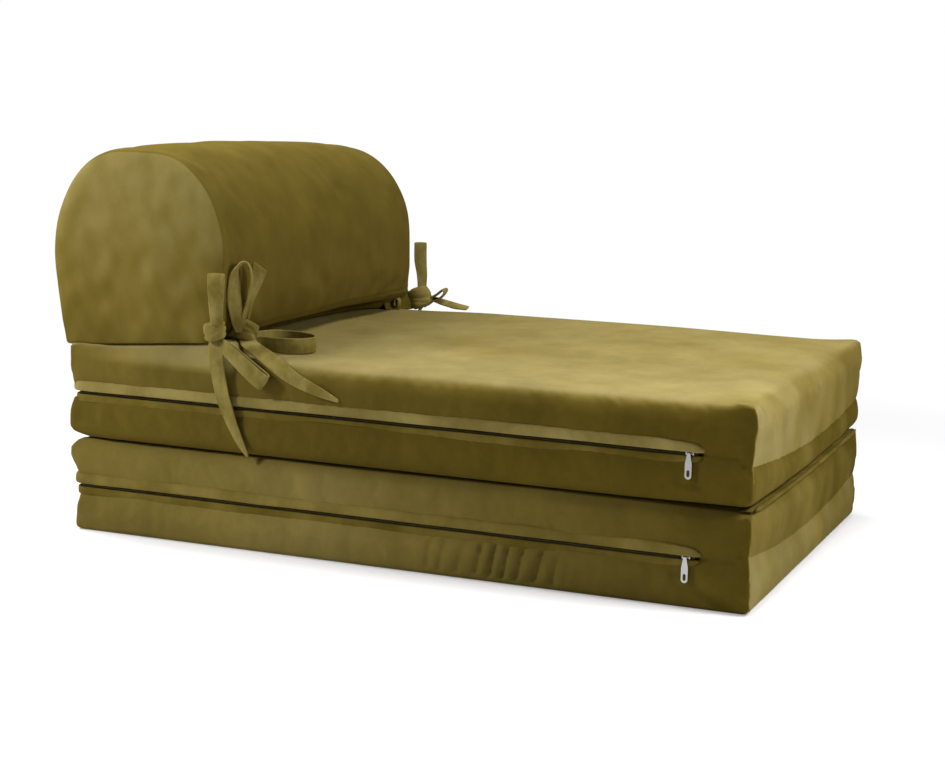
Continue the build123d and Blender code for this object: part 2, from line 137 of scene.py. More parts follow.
def smooth_line(points, step, cuts=12):
    """Even points on a smooth curve through the given ones.

    It comes with the share of the length at each of them, and at each of the given ones.
    """
    knots = np.array([tuple(p) for p in points], float)
    marks = marks_along(knots)
    ring = np.vstack([2 * knots[0] - knots[1], knots, 2 * knots[-1] - knots[-2]])
    fine = []
    for k in range(len(knots) - 1):
        p0, p1, p2, p3 = ring[k : k + 4]
        for t in np.linspace(0, 1, cuts, endpoint=False):
            inner = 2 * p1 + (p2 - p0) * t + (2 * p0 - 5 * p1 + 4 * p2 - p3) * t**2
            fine.append((inner + (3 * p1 - p0 - 3 * p2 + p3) * t**3) / 2)
    fine.append(knots[-1])
    lengths = marks_along(fine)
    even = np.linspace(0, lengths[-1], max(4, round(lengths[-1] / step)) + 1)
    knot_at = np.interp(np.linspace(0, len(knots) - 1, len(fine)), np.arange(len(knots)), marks)
    shares = np.interp(even, lengths, knot_at) / marks[-1]
    return at_marks(even, lengths, fine), shares, marks / marks[-1]


# Meshes


def make_mesh(name, points, faces):
    """A smooth mesh object from points and faces."""
    mesh = bpy.data.meshes.new(name)
    mesh.from_pydata([tuple(p) for p in points], [], faces)
    mesh.update()
    mesh.polygons.foreach_set("use_smooth", [True] * len(mesh.polygons))
    obj = bpy.data.objects.new(name, mesh)
    scene.collection.objects.link(obj)
    return obj


def read_points(obj):
    """The object's vertices as an array."""
    points = np.empty(len(obj.data.vertices) * 3, np.float64)
    obj.data.vertices.foreach_get("co", points)
    return points.reshape(-1, 3)


def write_points(obj, points):
    """Puts the array back as the object's vertices."""
    obj.data.vertices.foreach_set("co", np.asarray(points, np.float32).ravel())
    obj.data.update()


def write_values(obj, name, values):
    """Stores one number per vertex for the material to read."""
    layer = obj.data.attributes.new(name, "FLOAT", "POINT")
    layer.data.foreach_set("value", np.asarray(values, np.float32))


def apply_modifiers(obj):
    """Bakes the object's modifiers into its mesh."""
    bpy.context.view_layer.update()
    graph = bpy.context.evaluated_depsgraph_get()
    mesh = bpy.data.meshes.new_from_object(obj.evaluated_get(graph))
    obj.modifiers.clear()
    old = obj.data
    obj.data = mesh
    bpy.data.meshes.remove(old)


def subdivide(obj, levels=1):
    """Smooth subdivision, applied."""
    modifier = obj.modifiers.new("Subdivision", "SUBSURF")
    modifier.levels = levels
    modifier.render_levels = levels
    apply_modifiers(obj)


def tube_faces(rings, count):
    """Faces between closed rings that have count points each."""
    faces = []
    for start in range(0, (rings - 1) * count, count):
        for k in range(count):
            n = (k + 1) % count
            faces.append((start + k, start + n, start + count + n, start + count + k))
    return faces


def skin_rings(name, rings):
    """A closed tube through rings of equal length, with its two ends filled."""
    count = len(rings[0])
    points = [p for ring in rings for p in ring]
    faces = tube_faces(len(rings), count)
    faces.append(tuple(reversed(range(count))))
    faces.append(tuple(range(len(points) - count, len(points))))
    return make_mesh(name, points, faces)


def border(wide, tall):
    """Places on the border of a grid, once round."""
    there = [(i, 0) for i in range(wide)] + [(wide, j) for j in range(tall)]
    return there + [(i, tall) for i in range(wide, 0, -1)] + [(0, j) for j in range(tall, 0, -1)]


def closed_grid(name, rings, wide, tall, inner):
    """A closed mesh of rings, each end filled with a grid whose inner points come from inner."""
    points = [p for ring in rings for p in ring]
    faces = tube_faces(len(rings), len(rings[0]))
    for start in (0, len(points) - len(rings[0])):
        index = {cell: start + k for k, cell in enumerate(border(wide, tall))}
        edge = {cell: np.array(points[number]) for cell, number in index.items()}
        for i in range(1, wide):
            for j in range(1, tall):
                index[i, j] = len(points)
                points.append(inner(edge, i, j))
        for i in range(wide):
            for j in range(tall):
                quad = (index[i, j], index[i + 1, j], index[i + 1, j + 1], index[i, j + 1])
                faces.append(quad if start else quad[::-1])
    return make_mesh(name, points, faces)


# Materials


class Nodes:
    """Short hand for building the node tree of a material or the world."""

    def __init__(self, owner):
        owner.use_nodes = True
        self.tree = owner.node_tree

    def feed(self, node, inputs):
        """Links a node's inputs to other sockets, or sets their values."""
        for key, value in inputs.items():
            if isinstance(value, bpy.types.NodeSocket):
                self.tree.links.new(value, node.inputs[key])
            else:
                node.inputs[key].default_value = value

    def add(self, kind, inputs, output=0, **settings):
        """Adds a node, feeds its inputs and returns one of its outputs."""
        made = self.tree.nodes.new("ShaderNode" + kind)
        for key, value in settings.items():
            setattr(made, key, value)
        self.feed(made, inputs)
        return made.outputs[output]

    def seen(self):
        """1 for what the camera sees, directly or mirrored."""
        path = self.tree.nodes.new("ShaderNodeLightPath").outputs
        return self.add("Math", {0: path["Is Camera Ray"], 1: path["Is Glossy Ray"]}, operation="MAXIMUM")


class Finish(Nodes):
    """A new material, its shader and the nodes that its surface needs."""

    def __init__(self, name):
        self.material = bpy.data.materials.new(name)
        super().__init__(self.material)
        self.shader = self.tree.nodes["Principled BSDF"]
        self.place = self.add("TexCoord", {}, "Object")

    def noise(self, scale, detail, rough, stretch=(1, 1, 1)):
        """Noise in the object's own space, drawn out by the stretch."""
        here = self.add("Mapping", {"Vector": self.place, "Scale": stretch})
        looks = {"Vector": here, "Scale": scale, "Detail": detail, "Roughness": rough}
        return self.add("TexNoise", looks, "Fac")

    def remap(self, source, low, high, first, last):
        """Turns the range low to high into first to last."""
        ends = {"From Min": low, "From Max": high, "To Min": first, "To Max": last}
        return self.add("MapRange", {"Value": source, **ends})

    def times(self, first, second):
        """The product of two sockets."""
        return self.add("Math", {0: first, 1: second}, operation="MULTIPLY")

    def value(self, name):
        """A number stored on the mesh."""
        return self.add("Attribute", {}, "Fac", attribute_name=name)

    def shade(self, factor, dark, light):
        """Between two written colours."""
        ends = {6: (*dark, 1), 7: (*light, 1)}
        return self.add("Mix", {0: factor, **ends}, 2, data_type="RGBA")

    def ramp(self, factor, colours):
        """Evenly through the written colours."""
        made = self.tree.nodes.new("ShaderNodeValToRGB")
        stops = made.color_ramp.elements
        while len(stops) < len(colours):
            stops.new(0.5)
        for k, colour in enumerate(colours):
            stops[k].position = k / (len(colours) - 1)
            stops[k].color = (*colour, 1)
        self.feed(made, {"Fac": factor})
        return made.outputs["Color"]

    def bump(self, height, strength, distance, **below):
        """Relief from a height, on top of the Normal below it, if any."""
        return self.add("Bump", {"Strength": strength, "Distance": distance, "Height": height, **below})


VELVET = {"Roughness": 0.84, "Specular IOR Level": 0, "Sheen Weight": 0.08, "Sheen Roughness": 0.4,
          "Sheen Tint": (0.72, 0.58, 0.18, 1)}
MIDDLE_SHARES = (1, 0.965, 0.74)
SEAM_HALF = 0.4 * MM


def velvet(name, dark, light, nap_scale=1.0, with_painted_light=False):
    """Crushed velvet: mottled nap, brushed streaks, a fine pile and a warm sheen.

    Where asked, numbers on the mesh move its colour from dark to light: painted light and
    shade, with random patches, apart on the two sides of a seam.
    """
    made = Finish(name)
    made.feed(made.shader, VELVET)
    mottle = made.noise(15 * nap_scale, 5, 0.62, (1, 1, 0.7))
    if with_painted_light:
        # Painted light and shade from the mesh, apart on the two sides of the seam.
        side = made.remap(made.value("seam"), -SEAM_HALF, SEAM_HALF, 0, 1)
        tone = made.add("Mix", {0: side, 2: made.value("tone_and_painted_light_below"), 3: made.value("tone_and_painted_light_above")})
        middle = [(d + l) / 2 * share for d, l, share in zip(dark, light, MIDDLE_SHARES)]
        base = made.ramp(tone, (dark, middle, light))
    else:
        base = made.shade(made.remap(mottle, 0.36, 0.64, 0, 1), dark, light)
    drift = made.remap(made.noise(3.1, 2, 0.5), 0.3, 0.7, 0.92, 1.08)
    cloud = made.remap(mottle, 0.3, 0.7, 0.88, 1.12)
    brushed = made.remap(made.noise(30 * nap_scale, 3, 0.6, (1, 1, 0.2)), 0.3, 0.7, 0.96, 1.04)
    pile = made.remap(made.noise(800, 2, 0.7), 0.25, 0.75, 0.92, 1.08)
    strength = made.times(made.times(drift, cloud), made.times(brushed, pile))
    colour = made.add("VectorMath", {0: base, "Scale": strength}, operation="SCALE")
    fine = made.bump(made.noise(520, 4, 0.7), 0.22, 0.5 * MM)
    crushed = made.noise(24 * nap_scale, 4, 0.6, (1, 1, 0.6))
    made.feed(made.shader, {"Base Color": colour, "Normal": made.bump(crushed, 0.3, 3 * MM, Normal=fine)})
    return made.material


def plain(name, colour, roughness, metallic=0.0, grain=900, depth=0.1 * MM, ribs=0):
    """A plain finish with a fine grain, and ribs across both level directions if any."""
    made = Finish(name)
    texture = made.noise(grain, 3, 0.5)
    dark = tuple(c * 0.84 for c in colour)
    light = tuple(min(1, c * 1.1) for c in colour)
    surface = made.bump(texture, 0.3, depth)
    if ribs:
        wave = made.add("TexWave", {"Vector": made.place, "Scale": ribs}, "Fac", bands_direction="DIAGONAL")
        surface = made.bump(wave, 0.8, 0.5 * MM, Normal=surface)
    looks = {
        "Metallic": metallic,
        "Base Color": made.shade(texture, dark, light),
        "Roughness": made.remap(texture, 0, 1, roughness * 0.8, min(1, roughness * 1.2)),
        "Normal": surface,
    }
    made.feed(made.shader, looks)
    return made.material


# The cover and the wrap run between their dark and light colour by painted light and shade.
velvet_cover = velvet("velvet_cover", (0.104, 0.073, 0.010), (0.298, 0.242, 0.090), with_painted_light=True)
velvet_wrap = velvet("velvet_wrap", (0.096, 0.067, 0.009), (0.240, 0.190, 0.058), with_painted_light=True)
# Lighter copies of the velvet, painted light: for the ribbons and knots, and for the two hoods.
velvet_trim_painted_light = velvet("velvet_trim_painted_light", (0.215, 0.165, 0.038), (0.305, 0.243, 0.074), nap_scale=2.2)
velvet_lip_painted_light = velvet("velvet_lip_painted_light", (0.230, 0.178, 0.048), (0.310, 0.248, 0.082), nap_scale=0.8)
velvet_fold_painted_light = velvet("velvet_fold_painted_light", (0.165, 0.122, 0.026), (0.220, 0.168, 0.043), nap_scale=0.8)
# A darker copy of the velvet, painted shade: for the welts, the hinge strips and the far strap.
velvet_welt = velvet("velvet_welt", (0.120, 0.086, 0.013), (0.165, 0.122, 0.026))
textile = plain("zip_textile", (0.130, 0.095, 0.020), 0.9, grain=1500)
coil = plain("zip_coil_nylon", (0.115, 0.085, 0.020), 0.75, grain=700, ribs=900)
chrome = plain("zip_chrome", (0.38, 0.38, 0.37), 0.22, metallic=1.0, grain=240, depth=0.01 * MM)
ZIP_FINISHES = {"tape_high": textile, "tape_low": textile, "coil_high": coil, "coil_low": coil,
                "stops": coil, "slider": chrome, "pull": chrome}
for zip_name in ("upper", "lower", "bolster"):
    for part, finish in ZIP_FINISHES.items():
        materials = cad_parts[zip_name + "_zip_" + part].data.materials
        materials.clear()
        materials.append(finish)


# Mattresses

COLUMN_STEP = 7 * MM
EDGE_OFFSETS = [offset * MM for offset in (0, 3, 6.5, 11, 18, 27)]
WALL_ROWS = 24
ROUND_ROWS = 5
CORNER = 3 * MM
WALL_REACH = 14 * MM
ZIP_TRAVEL = 890 * MM
TIE_LIFT = 21 * MM
SEAT_SINK = 4.5 * MM


def mattress(name, **looks):
    """Sizes of one mattress, read from the CAD covers and zip, with the looks it is given."""
    top_low, top_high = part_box(name + "_cover_top")
    base_low, base_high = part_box(name + "_cover_base")
    coil_low, coil_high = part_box(name + "_zip_coil_high")
    return SimpleNamespace(
        name=name,
        half_x=max(top_high.x, base_high.x) - 0.6 * MM,
        low_y=min(top_low.y, base_low.y),
        high_y=max(top_high.y, base_high.y),
        low_z=base_low.z,
        high_z=top_high.z,
        seam_z=base_high.z,
        zip_x=coil_low.x,
        zip_front=coil_low.y,
        zip_back_x=coil_high.x,
        zip_back_y=coil_high.y,
        **looks,
    )


def spread(half):
    """Grid places from -half to half, closer together at both ends."""
    ends = [half - offset for offset in EDGE_OFFSETS]
    inner = ends[-1]
    count = max(2, round(2 * inner / COLUMN_STEP))
    middle = np.linspace(-inner, inner, count + 1)[1:-1]
    return np.array(sorted([-e for e in ends] + list(middle) + ends))


def rounded(px, py, half_x, low_y, high_y, radius):
    """Moves points of a rectangle's border onto the same rectangle with round corners."""
    inner_x = np.clip(px, -half_x + radius, half_x - radius)
    inner_y = np.clip(py, low_y + radius, high_y - radius)
    dx = px - inner_x
    dy = py - inner_y
    length = np.hypot(dx, dy)
    scale = np.where(length > radius, radius / np.maximum(length, TINY), 1)
    return inner_x + dx * scale, inner_y + dy * scale


def block_levels(block):
    """Rows of a block from its base to its top: height, inset, further inset in front."""
    low = block.low_z + block.base_radius
    high = block.high_z - block.top_radius
    turns = [math.radians(90 * k / ROUND_ROWS) for k in range(ROUND_ROWS + 1)]
    rows = []
    for turn in turns[:-1]:
        lift = block.base_radius * (1 - math.cos(turn))
        rows.append((block.low_z + lift, block.base_radius * (1 - math.sin(turn)), 0))
    for k in range(WALL_ROWS + 1):
        rows.append((low + (high - low) * k / WALL_ROWS, 0, 0))
    for turn in turns[1:]:
        inset = block.top_radius * (1 - math.cos(turn))
        front = (block.top_front - block.top_radius) * (1 - math.cos(turn))
        rows.append((high + block.top_radius * math.sin(turn), inset, front))
    return rows


def level_point(edge, i, j):
    """A point of a flat end, in line with those of its border."""
    return (edge[i, 0][0], edge[0, j][1], edge[0, 0][2])


def block_mesh(block):
    """A block with rounded edges as one closed grid, its columns in line all round."""
    xs = spread(block.half_x)
    middle = (block.high_y + block.low_y) / 2
    ys = spread((block.high_y - block.low_y) / 2) + middle
    wide, tall = len(xs) - 1, len(ys) - 1
    cx = np.array([xs[i] for i, j in border(wide, tall)])
    cy = np.array([ys[j] for i, j in border(wide, tall)])
    rings = []
    for z, inset, further in block_levels(block):
        half_x = block.half_x - inset
        low_y = block.low_y + inset + further
        high_y = block.high_y - inset
        px = cx * half_x / block.half_x
        in_front = middle + (cy - middle) * (middle - low_y) / (middle - block.low_y)
        behind = middle + (cy - middle) * (high_y - middle) / (block.high_y - middle)
        py = np.where(cy < middle, in_front, behind)
        px, py = rounded(px, py, half_x, low_y, high_y, CORNER + inset / 2)
        rings.append([(x, y, z) for x, y in zip(px, py)])
    return closed_grid(block.name + "_cover", rings, wide, tall, level_point)


CLOTH = {"quality": 4, "mass": 0.25, "tension_stiffness": 14, "compression_stiffness": 6,
         "shear_stiffness": 4, "bending_stiffness": 0.3, "use_pressure": True, "shrink_min": -0.015,
         "vertex_group_mass": "pins"}
CLOTH_FRAMES = 20


def loosen(obj, pins, pressure, give):
    """Lets the cover settle as cloth between its pinned seams, moving at most give."""
    rest = read_points(obj)
    group = obj.vertex_groups.new(name="pins")
    for k, weight in enumerate(pins):
        group.add([k], float(weight), "REPLACE")
    cloth = obj.modifiers.new("Cloth", "CLOTH")
    for key, value in CLOTH.items():
        setattr(cloth.settings, key, value)
    cloth.settings.uniform_pressure_force = pressure
    cloth.settings.effector_weights.gravity = 0
    cloth.collision_settings.use_collision = False
    scene.frame_start = 1
    scene.frame_end = CLOTH_FRAMES
    for number in range(1, CLOTH_FRAMES + 1):
        scene.frame_set(number)
    apply_modifiers(obj)
    scene.frame_set(1)
    moved = read_points(obj) - rest
    length = lengths_of(moved)
    moved *= give * np.tanh(length / give) / length
    write_points(obj, rest + moved)
    obj.vertex_groups.clear()


def outward(points, block):
    """Level unit vectors out of the block, and 1 on its walls falling to 0 inside."""
    inner_x = np.clip(points[:, 0], -block.half_x + WALL_REACH, block.half_x - WALL_REACH)
    inner_y = np.clip(points[:, 1], block.low_y + WALL_REACH, block.high_y - WALL_REACH)
    way = np.stack([points[:, 0] - inner_x, points[:, 1] - inner_y, np.zeros(len(points))], 1)
    length = lengths_of(way)
    return way / length, np.clip(length[:, 0] / WALL_REACH, 0, 1)


def squared(block, points):
    """Makes the rolled top edge tighter towards the corners, as sewn corners are."""
    x, y, z = points.T
    radius = block.top_radius
    up = np.clip(1 - (block.high_z - z) / radius, 0, 1)
    to_front = rise(-y, -block.low_y, -70, -10)
    to_back = rise(y, block.high_y, -60, -10)
    to_side = rise(np.abs(x), block.half_x, -70, -10)
    rolls = (
        (block.half_x - np.abs(x), radius, np.maximum(to_front, to_back), np.sign(x), 0),
        (y - block.low_y, block.top_front, to_side, -1, 1),
        (block.high_y - y, radius, to_side, 1, 1),
    )
    for inset, reach, weight, toward, axis in rolls:
        out = np.clip(1 - inset / reach, 0, 1)
        power = 2 + 4 * weight
        square = (out**power + up**power) ** (1 / power)
        tight = np.hypot(out, up) / np.maximum(square, TINY)
        gain = np.where((out > 0) & (up > 0), tight, 1) - 1
        points[:, axis] += toward * out * gain * reach
        points[:, 2] = np.minimum(points[:, 2] + up * gain * radius, block.high_z)


def fastened(block, x, y):
    """1 where the zip runs: along the near side and the back, as far as it goes."""
    near = rise(-x, block.half_x, -16, -8) * rise(y, block.zip_front, -12, -4)
    back = rise(y, block.high_y, -16, -8) * rise(-x, -block.zip_back_x, -8, 0)
    return np.maximum(near, back)


def front_seam(block, x):
    """Height of the seam across the front: it dips between the corners."""
    near, far, dip = block.front_seam
    share = np.clip(x / block.half_x, -1, 1)
    return block.low_z + near + (far - near) * (share + 1) / 2 - dip * (1 - share**2)


def tied_up(x, y):
    """How far the ties lift the near end of the bolster's foot, and the seat just below it."""
    along = np.clip((foot_high.y - y) / (250 * MM), 0, 1)
    return TIE_LIFT * along * rise(y, foot_low.y, -24, -2) * fall(x, 0, -250, -150)


def sunk(x, y):
    """How far the seat gives under the far end of the bolster and just in front of it."""
    return SEAT_SINK * rise(x, 0, 60, 290) * rise(y, 0, 60, 240)


PANEL_SWELL = 1.2 * MM
MIDDLE_SWELL = 1.3 * MM
SEAM_DRAW = 2.2 * MM
STITCH_DRAW = 1.1 * MM
FRONT_BOW = 1 * MM
WAVE_HEIGHT = 0.5 * MM
PUCKER_HEIGHT = 0.7 * MM
CROWN_HEIGHT = 0.8 * MM
EAR_REACH = 3.2 * MM
HINGE_DIP = 5 * MM
PULL_SPACE = 0.5 * MM
SLOT_DEPTH = 4.6 * MM
FOLD_ZONE = (24 * MM - middle_y, 268 * MM - middle_y)
FOLD_PITCH = 22 * MM
FOLD_DEPTH = 5 * MM
CREASE_DEPTH = 4.5 * MM


def gathers(block, y, z):
    """The upright folds below the zip near the front: above 0 out, below 0 in."""
    zone = rise(-y, FOLD_ZONE[0], 0, 50) * fall(-y, FOLD_ZONE[1], -50, 0)
    zone *= rise(z, block.low_z, 4, 14) * fall(z, block.seam_z, -20, -9)
    zone *= 0.4 + 0.6 * rise(-y, FOLD_ZONE[0], 90, 125)
    slanted = y + (z - block.low_z) * 0.25 + ripple(y, 80 * MM, 14) * 4 * MM
    folds = 1.6 * np.abs(np.sin(math.pi * slanted / FOLD_PITCH)) ** 0.8 - 1.2
    return zone * folds * FOLD_DEPTH


def slanting_crease(block, y, z):
    """The crease that runs up from the near front corner, with a ridge on each side."""
    line = (z - block.low_z) - 0.62 * (y - block.low_y - 20 * MM)
    crease = hump(line, 0, 9 * MM) - 0.7 * hump(line, 22 * MM, 9 * MM) + 0.5 * hump(line, -24 * MM, 8 * MM)
    return crease * rise(-y, -block.low_y, -110, -50) * CREASE_DEPTH


def panel_move(block, points, near, front, back):
    """How far the panels and seams of the walls stand out."""
    x, y, z = points.T
    seam = np.where(front > 0.5, front_seam(block, x), block.seam_z)
    below = np.clip((z - block.low_z) / (seam - block.low_z), 0, 1)
    beyond = np.clip((z - seam) / (block.high_z - seam), 0, 1)
    swell = np.sin(math.pi * below) + np.sin(math.pi * beyond)
    across = 1 - np.clip(np.abs(x) / block.half_x, 0, 1) ** 2
    long_way = 1 - np.clip(np.abs(y - middle_y) / (block.high_y - middle_y), 0, 1) ** 4
    stitched = (1 - fastened(block, x, y)) * hump(z, seam, 2 * MM)
    move = swell * (PANEL_SWELL + MIDDLE_SWELL * np.maximum(long_way, across))
    move -= hump(z, seam, 13 * MM) * SEAM_DRAW + stitched * STITCH_DRAW
    move += front * across * FRONT_BOW
    move += ripple(np.where(front + back > near, x, y), 150 * MM, 11) * WAVE_HEIGHT
    move += patches(points, 170 * MM, 5) * PUCKER_HEIGHT
    loose = gathers(block, y, z) - slanting_crease(block, y, z) * (1 - step_curve(below, 0.6, 1))
    return move + block.gather * near * loose


def clear_zip(block, points, near, zipped, y, z):
    """Keeps the cover off the slider's slot, and off its pull at both ends of the travel."""
    pull_low, pull_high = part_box(block.name + "_zip_pull")
    parked = (pull_low.y + pull_high.y) / 2
    off = np.minimum(np.abs(y - parked), np.abs(y - parked - ZIP_TRAVEL))
    bay = fall(off, 0, 9, 26) * fall(np.abs(z - (pull_low.z + pull_high.z) / 2), 0, 22, 34)
    points[:, 0] += bay * near * np.maximum(0, pull_high.x + PULL_SPACE - points[:, 0])
    slot = rise(z, block.seam_z, -8, -6.5) * fall(z, block.seam_z, 6.5, 8)
    inside = zipped * slot > 0.5
    points[inside, 0] = np.maximum(points[inside, 0], block.zip_x + SLOT_DEPTH)
    points[inside, 1] = np.minimum(points[inside, 1], block.zip_back_y - SLOT_DEPTH)


def shape_block(block, obj):
    """Draws in the seams, bows the panels and lets the cover gather below the zip."""
    points = read_points(obj)
    squared(block, points)
    way, facing = outward(points, block)
    x, y, z = points.T.copy()
    near = rise(-x, block.half_x, -30, -6)
    front = rise(-y, -block.low_y, -30, -6)
    back = rise(y, block.high_y, -30, -6)
    across = 1 - np.clip(np.abs(x) / block.half_x, 0, 1) ** 2
    zipped = fastened(block, x, y)
    wall = facing * rise(z, block.low_z, 0, 12) * fall(z, block.high_z, -16, 0)
    points += way * (wall * panel_move(block, points, near, front, back))[:, None]
    levels = np.array(block.back_profile) * MM
    behind = np.interp(z - block.low_z, levels[:, 0], levels[:, 1])
    lean = rise(-x, 0, 180, 285)
    points[:, 1] += back * np.where(behind > 0, behind * lean, behind * (0.5 + 0.5 * lean))
    points[:, 2] -= front * across * hump(z, block.hinge_z, 22 * MM) * HINGE_DIP
    upper_edge = block.crown * rise(z, block.high_z, -26, -2)
    points[:, 2] += upper_edge * tied_up(x, y) * fall(x, 0, -255, -195)
    mouth = near * rise(-y, -block.low_y, -190, -8) * hump(z, block.hinge_z, 12 * MM)
    points[:, 2] += mouth * block.mouth * MM
    ear = hump(z, block.high_z - 20 * MM, 20 * MM) * block.crown * EAR_REACH
    points[:, 1] -= front * ear * rise(np.abs(x), block.half_x, -70, -10)
    points[:, 2] -= upper_edge * sunk(x, y)
    crown = rise(z, block.high_z, -1, 0) * (1 - facing) * block.crown
    points[:, 2] += crown * patches(points, 300 * MM, 21) * CROWN_HEIGHT
    clear_zip(block, points, near, zipped, y, z)
    write_points(obj, points)


def paint_block_light_and_tone(block, obj):
    """Paints light and shade into the cover's colour, as numbers on the mesh, with random patches."""
    points = read_points(obj)
    x, y, z = points.T
    facing = np.empty(len(points) * 3, np.float32)
    obj.data.vertices.foreach_get("normal", facing)
    facing = facing.reshape(-1, 3)
    # The front panel: two tones at its seam, partly its nap and partly painted light, with painted shade
    # towards the far end.
    front = step_curve(-facing[:, 1], 0.22, 0.5) * (1 - step_curve(np.abs(facing[:, 0]), 0.5, 0.75))
    front *= rise(-y, -block.low_y, -45, -38)
    top = step_curve(facing[:, 2], 0.55, 0.96) * rise(z, block.high_z, -30, -20)
    patch = patches(points, 90 * MM, 31) * 0.08 + ripple(x + 0.5 * z, 60 * MM, 33) * 0.03
    fade_above, fade_below = [1 - share * (x / block.half_x + 1) / 2 for share in block.far_fades]
    # Painted sheen on the top: lighter towards the near edge, with random patches, and painted shade at the
    # near front corner.
    sheen = block.top_tone * (0.86 + 0.3 * step_curve(-x, 0, block.half_x))
    sheen += patches(points, 140 * MM, 35) * 0.05
    sheen *= 1 - 0.4 * hump(np.hypot(x + block.half_x, y - block.low_y), 0, 80 * MM)
    above = np.maximum(top * sheen, front * block.front_tones[0] * fade_above) + front * patch
    below = front * (block.front_tones[1] * fade_below + patch)
    # Painted light along the near side, darkest at the front; on the upper block painted shade below the
    # zip.
    backward = (y - block.low_y) / (block.high_y - block.low_y)
    side_tone = np.interp(backward, (0, 0.3, 0.6, 1), block.side_tones)
    side_tone *= 1 - 0.6 * block.crown * fall(z, block.seam_z, -8, 0)
    # Painted light on the top's edge under the near tie.
    tied = tied_up(x, y) / TIE_LIFT * rise(z, block.high_z, -25, -9) * block.crown
    above = above + (1 - np.maximum(top, front)) * np.maximum(side_tone, tied**0.5)
    below = below + (1 - front) * side_tone
    write_values(obj, "seam", np.where(front > 0.5, z - front_seam(block, x), z - block.low_z))
    write_values(obj, "tone_and_painted_light_above", above)
    write_values(obj, "tone_and_painted_light_below", below)


# The seam across the front is given as its height at the near and the far end and its dip,
# and the back profile as height and lean in millimetres.
upper = mattress(
    "upper",
    top_radius=26 * MM,
    top_front=38 * MM,
    base_radius=17 * MM,
    front_seam=(58 * MM, 46 * MM, 16 * MM),
    # Painted light and shade: the front's two tones, partly its nap, the far fades, the top's sheen and the
    # side from front to back.
    front_tones=(0.95, 0.09),
    far_fades=(0.68, 1.0),
    top_tone=0.94,
    side_tones=(0, 0.05, 0.12, 0.20),
    back_profile=(
        (0, -9), (3, -7), (9, 1), (17, 3.5), (40, 2), (60, -3), (74, -5), (90, -2), (124, 3), (135, 6)
    ),
    mouth=3,
    gather=0,
    crown=1,
)
upper.hinge_z = upper.low_z
lower = mattress(
    "lower",
    top_radius=21 * MM,
    top_front=13 * MM,
    base_radius=8 * MM,
    front_seam=(76 * MM, 66 * MM, 18 * MM),
    # Painted light and shade: the front's two tones, partly its nap, the far fades, the top's sheen and the
    # side from front to back.
    front_tones=(0.46, 0.80),
    far_fades=(1.0, 0.4),
    top_tone=0.3,
    side_tones=(0, 0.32, 0.62, 0.36),
    back_profile=(
        (0, 0), (12, 1), (40, -4), (62, -10), (76, -11), (92, -4), (110, 4), (122, 5), (131, -3), (135, -9)
    ),
    mouth=-7,
    gather=1,
    crown=0,
)
lower.hinge_z = lower.high_z
for block in (upper, lower):
    cover = block_mesh(block)
    start = read_points(cover)
    held = 1 - outward(start, block)[1]
    edges = np.minimum(np.abs(start[:, 2] - block.seam_z), np.abs(start[:, 2] - block.low_z))
    loosen(cover, np.maximum(held, fall(edges, 0, 4, 22)), 3.0, 5 * MM)
    subdivide(cover)
    shape_block(block, cover)
    paint_block_light_and_tone(block, cover)
    cover.data.materials.append(velvet_cover)
    front_y = float(read_points(cover)[:, 1].min())
    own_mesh(cover)
    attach(cover, block.name + "_mattress")
    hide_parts(block.name + "_foam", block.name + "_cover_top", block.name + "_cover_base")


def trim(name, rings, material, levels=1):
    """A narrow sewn piece through rings, with its velvet."""
    obj = skin_rings(name, rings)
    if levels:
        subdivide(obj, levels)
    obj.data.materials.append(material)
    return obj


# Hoods and welts of the zips, as out and up from the seam in millimetres

HOOD = [(2.2, 18.2), (5.4, 17.8), (7.3, 16), (8.4, 12.6), (8.9, 8.6), (8.8, 5), (8, 2.7),
        (7, 2.5), (6.6, 4.6), (6.3, 8), (5.2, 11.5), (2.4, 14.2)]
WELT = [(-1, -4.7), (2.6, -4.5), (3.1, -3.2), (4.1, -2.8), (4.9, -3.6), (5.3, -6), (5.3, -10),
        (4.9, -13), (3.6, -14.8), (-1, -15.2)]
TURN_RADIUS = 10 * MM
TURN_STEPS = 8
STRIP_STEP = 5 * MM


def zip_line(block, front):
    """The seam's line along the near side, round the corner and along the back."""
    seam_x = block.zip_x + 0.6 * MM
    seam_y = block.zip_back_y - 0.6 * MM
    back = block.zip_back_x + 6 * MM
    centre_x = seam_x + TURN_RADIUS
    centre_y = seam_y - TURN_RADIUS
    count = round((centre_y - front) / STRIP_STEP)
    places = [(seam_x, y, -1, 0) for y in np.linspace(front, centre_y, count + 1)]
    for k in range(1, TURN_STEPS):
        turn = math.radians(90 * k / TURN_STEPS)
        out_x, out_y = -math.cos(turn), math.sin(turn)
        places.append((centre_x + out_x * TURN_RADIUS, centre_y + out_y * TURN_RADIUS, out_x, out_y))
    count = round((back - centre_x) / STRIP_STEP)
    places += [(x, seam_y, 0, 1) for x in np.linspace(centre_x, back, count + 1)]
    return np.array(places)


